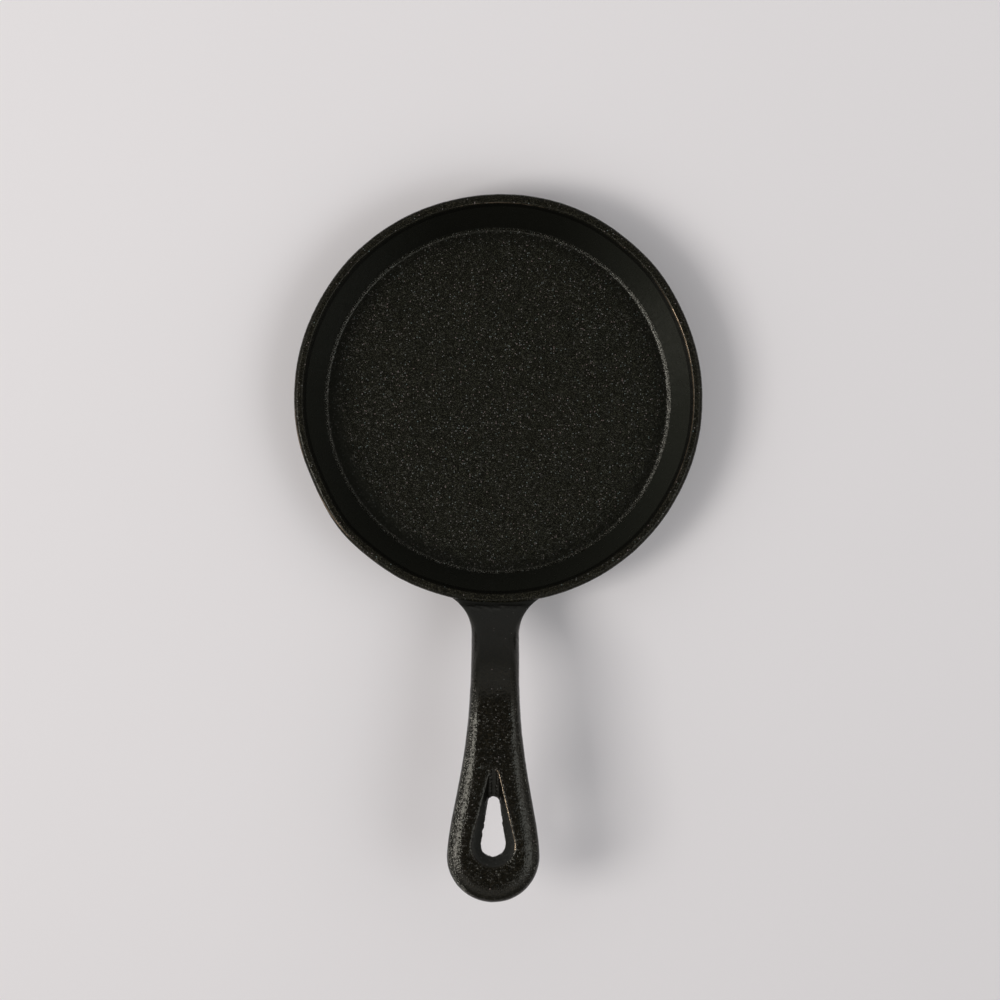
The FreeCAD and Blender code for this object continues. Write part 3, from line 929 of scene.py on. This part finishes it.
def build_seasoning():
    """Baked-on oil: soft patches that are a little browner, thicker and shinier."""
    group, start, end = new_group("seasoning", [("Patch Size", 14.0), ("Contrast", 0.5)],
                                  [("Patch", "Float"), ("Haze", "Float")])
    scale = math_node(group, "DIVIDE", 1000.0, start.outputs["Patch Size"])
    wide = add(group, "ShaderNodeTexNoise", {"Vector": place(group), "Scale": scale,
               "Detail": 4.0, "Roughness": 0.55, "Distortion": 0.4})
    close = add(group, "ShaderNodeTexNoise", {"Vector": place(group),
                "Scale": math_node(group, "MULTIPLY", scale, 7.0), "Detail": 3.0})
    shifted = math_node(group, "SUBTRACT", wide.outputs[0], 0.5)
    patch = math_node(group, "ADD", math_node(group, "MULTIPLY", shifted,
                      math_node(group, "MULTIPLY", start.outputs["Contrast"], 4.0)), 0.5, clamp=True)
    group.links.new(patch, end.inputs["Patch"])
    group.links.new(close.outputs[0], end.inputs["Haze"])
    return group


def build_edge_wear():
    """Where an edge has been rubbed through to warm, bare iron, broken up by the grain."""
    group, start, end = new_group("edge_wear", [("Wear", 0.0), ("Grain", 0.5), ("Reach", 0.5)],
                                  [("Bare", "Float")])
    scratch = add(group, "ShaderNodeTexNoise", {"Vector": place(group), "Scale": 900.0,
                  "Detail": 4.0, "Roughness": 0.7})
    uneven = add(group, "ShaderNodeTexNoise", {"Vector": place(group), "Scale": 110.0, "Detail": 2.0})
    broken = math_node(group, "ADD", scratch.outputs[0],
                       math_node(group, "MULTIPLY", start.outputs["Grain"], 0.25))
    broken = math_node(group, "ADD", broken, uneven.outputs[0])
    level = math_node(group, "MULTIPLY", start.outputs["Wear"],
                      math_node(group, "ADD", start.outputs["Reach"], broken))
    bare = map_range(group, level, 0.95, 1.55, 0.0, 0.9, "SMOOTHSTEP")
    group.links.new(bare, end.inputs["Bare"])
    return group


def build_painted_glints():
    """Painted glints: a mask of scattered, tiny spots where single grains are given a light colour."""
    group, start, end = new_group("painted_glints", [("Spot Size", 0.5), ("Share", 0.06)],
                                  [("Spot", "Float"), ("Tone", "Float")])
    size = math_node(group, "DIVIDE", 1000.0, start.outputs["Spot Size"])
    cells = add(group, "ShaderNodeTexVoronoi", {"Vector": place(group), "Scale": size,
                "Randomness": 1.0}, feature="F1", distance="EUCLIDEAN")
    tone = add(group, "ShaderNodeSeparateColor", {0: cells.outputs["Color"]})
    chosen = math_node(group, "LESS_THAN", tone.outputs[0], start.outputs["Share"])
    small = map_range(group, cells.outputs["Distance"], 0.25, 0.5, 1.0, 0.0, "SMOOTHSTEP")
    spot = math_node(group, "MULTIPLY", chosen, small)
    group.links.new(spot, end.inputs["Spot"])
    group.links.new(tone.outputs[1], end.inputs["Tone"])
    return group


GROUPS = {}


def grouped(tree, name, **values):
    """Places a shared node group with its own values."""
    links = {key.replace("_", " "): value for key, value in values.items()}
    return add(tree, "ShaderNodeGroup", links, node_tree=GROUPS[name])


def mix_colour(tree, factor, a, b):
    return add(tree, "ShaderNodeMix", {"Factor": factor, 6: a, 7: b}, data_type="RGBA").outputs[2]


def mark(tree, name):
    return add(tree, "ShaderNodeAttribute", attribute_name=name).outputs["Fac"]


def make_iron(name, black, brown, smooth, salt, grain_size, depth, steep, rough, spots, level):
    """Black seasoned cast iron: dark in the pits, greyer on the grains' tops.

    black and brown mottle the grainy skin, smooth is the colour where there is no grain (on the handle
    it is lighter, a painted sheen), and salt is that of the palest grains. grain_size and depth are in
    millimetres, steep is how much taller a few grains stand, spots is the share of painted glints, and
    level is the specular level.
    """
    iron = bpy.data.materials.new(name)
    iron.use_nodes = True
    tree = iron.node_tree
    shader = tree.nodes["Principled BSDF"]
    skin_mark = mark(tree, "cast_grain")
    grain = grouped(tree, "cast_grain", Grain_Size=grain_size, Skin=skin_mark, Steep_Grains=steep)
    oil = grouped(tree, "seasoning", Patch_Size=13.0, Contrast=0.6)
    painted_glint = grouped(tree, "painted_glints", Spot_Size=0.50, Share=spots)
    worn = grouped(tree, "edge_wear", Wear=mark(tree, "edge_wear"), Grain=grain.outputs["Peak"])
    colour = mix_colour(tree, oil.outputs["Patch"], black, brown)
    colour = mix_colour(tree, skin_mark, smooth, colour)
    salted = math_node(tree, "MULTIPLY", grain.outputs["Salt"], skin_mark)
    colour = mix_colour(tree, salted, colour, salt)
    # Painted glints: scattered grains given a warm or cool light colour
    painted_glint_tint = mix_colour(tree, painted_glint.outputs["Tone"], PAINTED_GLINT_WARM, PAINTED_GLINT_COOL)
    painted_glint_share = math_node(tree, "MULTIPLY", painted_glint.outputs["Spot"], skin_mark)
    colour = mix_colour(tree, painted_glint_share, colour, painted_glint_tint)
    # Painted shade where the painted_shade mark is set
    shade_amount = math_node(tree, "MULTIPLY", mark(tree, "painted_shade"), 0.8)
    colour = mix_colour(tree, shade_amount, colour, PAINTED_SHADE_COLOUR)
    # Painted highlight: pale grains where the painted_highlight mark is set
    painted_highlight_share = math_node(tree, "MULTIPLY", mark(tree, "painted_highlight"), grain.outputs["Salt"])
    painted_highlight_share = map_range(tree, painted_highlight_share, 0.05, 0.28, 0.0, 1.0)
    colour = mix_colour(tree, painted_highlight_share, colour, PAINTED_HIGHLIGHT_GRAIN)
    colour = mix_colour(tree, worn.outputs["Bare"], colour, BARE_IRON)
    tree.links.new(colour, shader.inputs["Base Color"])
    gloss = map_range(tree, oil.outputs["Haze"], 0.3, 0.7, rough + 0.05, rough - 0.05)
    tree.links.new(gloss, shader.inputs["Roughness"])
    tree.links.new(worn.outputs["Bare"], shader.inputs["Metallic"])
    shader.inputs["Specular IOR Level"].default_value = level
    shader.inputs["Specular Tint"].default_value = OIL_SHEEN
    bumps = add(tree, "ShaderNodeBump", {"Height": grain.outputs["Height"],
                "Distance": depth * MM, "Strength": 1.0})
    tree.links.new(bumps.outputs[0], shader.inputs["Normal"])
    return iron


def make_floor_finish():
    """Pale studio floor, painted lighter towards +Y and darker towards -Y as a painted light falloff."""
    paper = bpy.data.materials.new("studio_floor")
    paper.use_nodes = True
    tree = paper.node_tree
    shader = tree.nodes["Principled BSDF"]
    mottle = add(tree, "ShaderNodeTexNoise", {"Vector": place(tree), "Scale": 6.0, "Detail": 3.0})
    # Painted light falloff: the floor's colour grows lighter towards +Y
    along = add(tree, "ShaderNodeSeparateXYZ", {0: place(tree)}).outputs["Y"]
    share = map_range(tree, along, -0.25, 0.15, 0.0, 1.0)
    share = math_node(tree, "ADD", share, map_range(tree, mottle.outputs[0], 0.3, 0.7, -0.05, 0.05))
    colour = mix_colour(tree, share, (0.822, 0.800, 0.812, 1), (0.925, 0.902, 0.914, 1))
    tree.links.new(colour, shader.inputs["Base Color"])
    shader.inputs["Roughness"].default_value = 0.9
    shader.inputs["Specular IOR Level"].default_value = 0.1
    return paper


# ---------------------------------------------------------------- studio

def make_studio_floor(finish):
    mesh = bpy.data.meshes.new("studio_floor")
    reach = 3.0
    mesh.from_pydata([(-reach, -reach, 0), (reach, -reach, 0), (reach, reach, 0), (-reach, reach, 0)],
                     [], [(0, 1, 2, 3)])
    mesh.materials.append(finish)
    floor = bpy.data.objects.new("studio_floor", mesh)
    bpy.context.scene.collection.objects.link(floor)


def make_softbox(name, direction, distance, width, height, power, colour):
    """A rectangular lamp that faces the pan."""
    lamp = bpy.data.lights.new(name, "AREA")
    lamp.shape = "RECTANGLE"
    lamp.size, lamp.size_y = width, height
    lamp.energy = power
    lamp.color = colour
    box = bpy.data.objects.new(name, lamp)
    azimuth, elevation = map(math.radians, direction)
    away = Vector((math.cos(azimuth) * math.cos(elevation),
                   math.sin(azimuth) * math.cos(elevation), math.sin(elevation)))
    box.location = away * distance
    box.rotation_mode = "QUATERNION"
    box.rotation_quaternion = away.to_track_quat("Z", "Y")
    bpy.context.scene.collection.objects.link(box)


def make_world():
    """A pale room, brightest high on its walls, with a dark ceiling and dimmer far and near ends."""
    world = bpy.data.worlds.new("studio_room")
    bpy.context.scene.world = world
    world.use_nodes = True
    tree = world.node_tree
    background = tree.nodes["Background"]
    way = add(tree, "ShaderNodeTexCoord").outputs["Generated"]
    way_parts = add(tree, "ShaderNodeSeparateXYZ", {0: way}).outputs
    up = way_parts["Z"]
    walls = map_range(tree, up, 0.40, 0.72, 0.42, 1.25, "SMOOTHSTEP")
    ceiling = map_range(tree, up, 0.87, 0.94, 1.0, 0.06, "SMOOTHSTEP")
    window_side = map_range(tree, way_parts["X"], -0.6, 0.6, 1.0, 0.85, "SMOOTHSTEP")
    far_side = map_range(tree, way_parts["Y"], 0.05, 0.55, 1.0, 0.40, "SMOOTHSTEP")
    near_side = map_range(tree, way_parts["Y"], -0.75, -0.2, 0.50, 1.0, "SMOOTHSTEP")
    ends = math_node(tree, "MULTIPLY", far_side, near_side)
    room = math_node(tree, "MULTIPLY", math_node(tree, "MULTIPLY", walls, ceiling),
                     math_node(tree, "MULTIPLY", window_side, ends))
    tree.links.new(room, background.inputs["Strength"])
    background.inputs["Color"].default_value = (1.0, 0.985, 0.985, 1)


def make_camera():
    """Looks straight down on the pan, with the handle towards the bottom of the view."""
    lens = bpy.data.cameras.new("camera")
    lens.lens, lens.sensor_width = 95.2, 36.0
    camera = bpy.data.objects.new("camera", lens)
    camera.location = (0.00115, -0.0347, 0.930)
    camera.rotation_euler = (0, 0, math.radians(0.55))
    bpy.context.scene.collection.objects.link(camera)
    bpy.context.scene.camera = camera


for name, build in (("cast_grain", build_cast_grain), ("seasoning", build_seasoning),
                    ("edge_wear", build_edge_wear), ("painted_glints", build_painted_glints)):
    GROUPS[name] = build()

pan_iron = make_iron(
    "seasoned_pan", black=(0.0028, 0.0029, 0.0017, 1), brown=(0.0043, 0.0040, 0.0025, 1),
    smooth=(0.0232, 0.0246, 0.0190, 1), salt=(0.060, 0.062, 0.042, 1),
    grain_size=0.60, depth=0.08, steep=0.65, rough=0.23, spots=0.08, level=0.21)
rim_iron = make_iron(
    "seasoned_rim", black=(0.0032, 0.0032, 0.0019, 1), brown=(0.0052, 0.0046, 0.0030, 1),
    smooth=(0.0060, 0.0060, 0.0048, 1), salt=(0.052, 0.049, 0.033, 1),
    grain_size=0.75, depth=0.07, steep=0.5, rough=0.24, spots=0.04, level=0.17)
# The handle's smooth colour is lighter: a painted sheen on the root's sloping top and in the hollows
handle_iron = make_iron(
    "seasoned_handle", black=(0.0020, 0.0019, 0.0010, 1), brown=(0.0034, 0.0029, 0.0016, 1),
    smooth=(0.0350, 0.0360, 0.0340, 1), salt=(0.026, 0.021, 0.012, 1),
    grain_size=0.70, depth=0.12, steep=0.16, rough=0.20, spots=0.01, level=0.28)

make_pan_floor(pan_iron)
make_pan_wall(pan_iron)
make_pan_rim(rim_iron)
make_root_and_shank(handle_iron)
make_grip(handle_iron)

make_studio_floor(make_floor_finish())
make_softbox("left_softbox", (196.5, 53.5), 1.27, 0.34, 0.50, 4.9, (1.0, 0.97, 0.93))
make_softbox("right_softbox", (-29, 59), 1.30, 0.52, 0.52, 1.6, (0.93, 0.98, 1.0))
make_world()
make_camera()
bpy.context.scene.view_settings.view_transform = "Standard"
